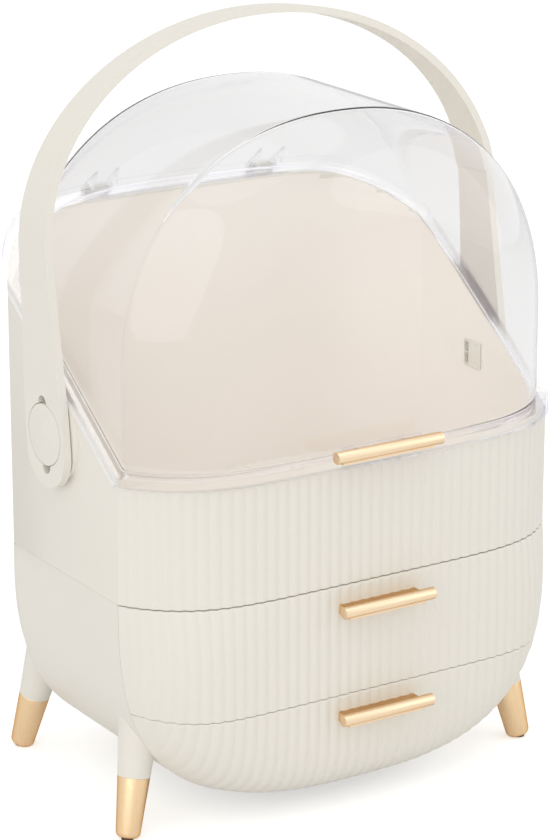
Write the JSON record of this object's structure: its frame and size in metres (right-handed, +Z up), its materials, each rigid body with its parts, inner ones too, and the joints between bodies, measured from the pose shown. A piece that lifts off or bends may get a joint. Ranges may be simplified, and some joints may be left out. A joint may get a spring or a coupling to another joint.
{
  "type": "drawer organizer",
  "caption": "Vanity organizer box with a rounded body, bowed sliding drawers, a clear domed flip-up lid, a swinging carry handle, bar pulls and splayed legs.",
  "frame": {"origin": "on the ground under the middle of the body", "axes": "+Z up, -Y towards the user, where the drawers open, +X to the user's right"},
  "size_m": [0.2952, 0.2239, 0.4343],
  "materials": {
    "cream_plastic": "satin moulded ABS, cream white",
    "clear_plastic": "clear polished styrene",
    "gold_anodised": "satin champagne gold",
    "black_rubber": "matt",
    "steel": "plain zinc plated"
  },
  "bodies": {
    "case": {"lower_case": "cream_plastic", "upper_case": "cream_plastic", "drawer_shelf": "cream_plastic", "case_screws": "steel", "hinge_pin_left": "steel", "hinge_pin_right": "steel", "pivot_cap_left": "cream_plastic", "pivot_cap_right": "cream_plastic", "pivot_clip_left": "cream_plastic", "pivot_clip_right": "cream_plastic", "leg_front_left": "cream_plastic", "leg_front_right": "cream_plastic", "leg_back_left": "cream_plastic", "leg_back_right": "cream_plastic", "leg_tip_front_left": "gold_anodised", "leg_tip_front_right": "gold_anodised", "leg_tip_back_left": "gold_anodised", "leg_tip_back_right": "gold_anodised", "foot_pad_front_left": "black_rubber", "foot_pad_front_right": "black_rubber", "foot_pad_back_left": "black_rubber", "foot_pad_back_right": "black_rubber"},
    "lid": {"lid_dome": "clear_plastic", "lid_pull": "gold_anodised", "lid_pull_screws": "steel"},
    "handle": {"carry_handle": "cream_plastic"},
    "upper_drawer": {"upper_drawer_tray": "cream_plastic", "upper_drawer_front": "cream_plastic", "upper_drawer_pull": "gold_anodised", "upper_drawer_screws": "steel"},
    "lower_drawer": {"lower_drawer_tray": "cream_plastic", "lower_drawer_front": "cream_plastic", "lower_drawer_pull": "gold_anodised", "lower_drawer_screws": "steel"}
  },
  "joints": [
    {"name": "lid_hinge", "type": "hinge", "parent": "case", "child": "lid", "pos_m": [0, 0.1084, 0.32], "axis": [-1, 0, 0], "range_deg": [0, 95]},
    {"name": "handle_swing", "type": "hinge", "parent": "case", "child": "handle", "pos_m": [0, 0.006, 0.2186], "axis": [-1, 0, 0], "range_deg": [0, 95]},
    {"name": "upper_drawer_slide", "type": "slide", "parent": "case", "child": "upper_drawer", "axis": [0, -1, 0], "range_m": [0, 0.095]},
    {"name": "lower_drawer_slide", "type": "slide", "parent": "case", "child": "lower_drawer", "axis": [0, -1, 0], "range_m": [0, 0.095]}
  ],
  "couplings": [
    {"joint": "handle_swing", "follows": "lid_hinge", "ratio": 1}
  ]
}
